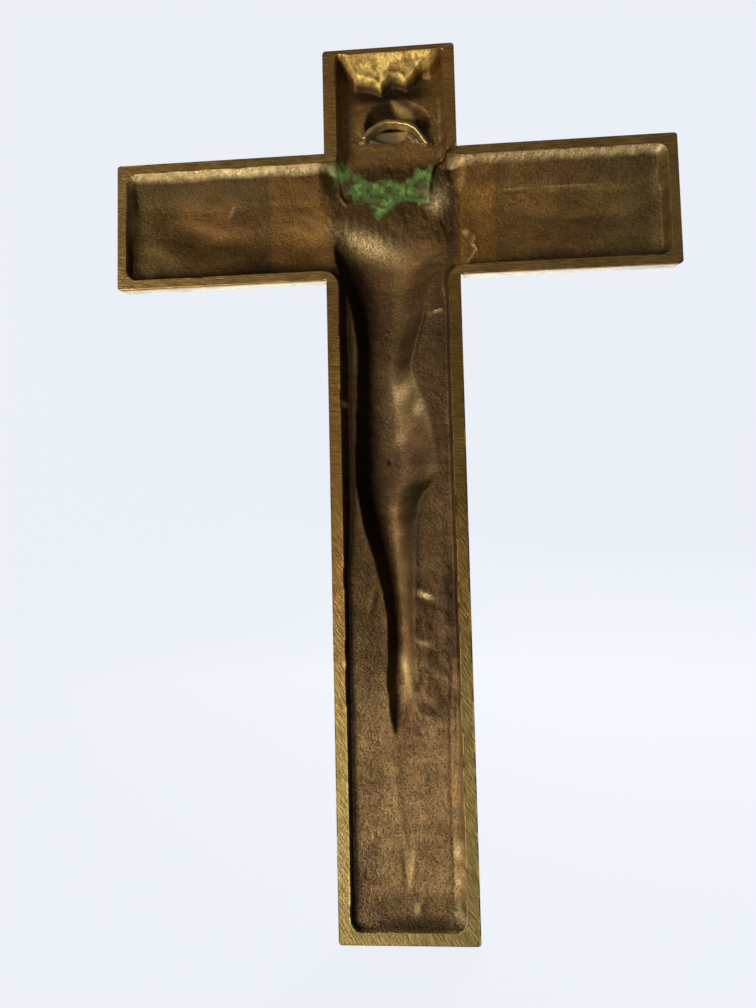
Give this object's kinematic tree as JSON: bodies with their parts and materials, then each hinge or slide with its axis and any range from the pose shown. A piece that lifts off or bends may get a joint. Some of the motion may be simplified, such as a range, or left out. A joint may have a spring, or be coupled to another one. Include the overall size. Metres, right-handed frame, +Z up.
{
  "type": "altar cross",
  "caption": "Hollow-backed cast brass crucifix for a wall, with a figure in relief on the front and an arched hanging strap soldered in behind the head.",
  "frame": {"origin": "the nail's point on the wall plane: the plane of the filed back rim, on the centre line, at the height of the underside of the hanger's crown", "axes": "+Z up along the shaft, +Y out of the back towards the wall, -Y the way the figure faces, +X to the right as seen from the front"},
  "size_m": [0.128, 0.0152, 0.2],
  "materials": {
    "cast_brass": "sand-cast, tarnished brown, with a bright filed rim",
    "figure_brass": "cast, satin, worn bright on high places",
    "braze_metal": "rough brazing metal with green flux residue",
    "hanger_brass": "thin strap, satin",
    "tin_solder": "dull tin solder"
  },
  "bodies": {
    "root": {"shaft_casting": "cast_brass", "left_arm_casting": "cast_brass", "right_arm_casting": "cast_brass", "top_limb_casting": "cast_brass", "top_joint_braze": "braze_metal", "left_joint_braze": "braze_metal", "right_joint_braze": "braze_metal", "corpus_body": "figure_brass", "corpus_head": "figure_brass", "corpus_left_arm": "figure_brass", "corpus_right_arm": "figure_brass", "titulus_scroll": "figure_brass", "hanger_loop": "hanger_brass", "hanger_solder": "tin_solder"}
  },
  "joints": []
}
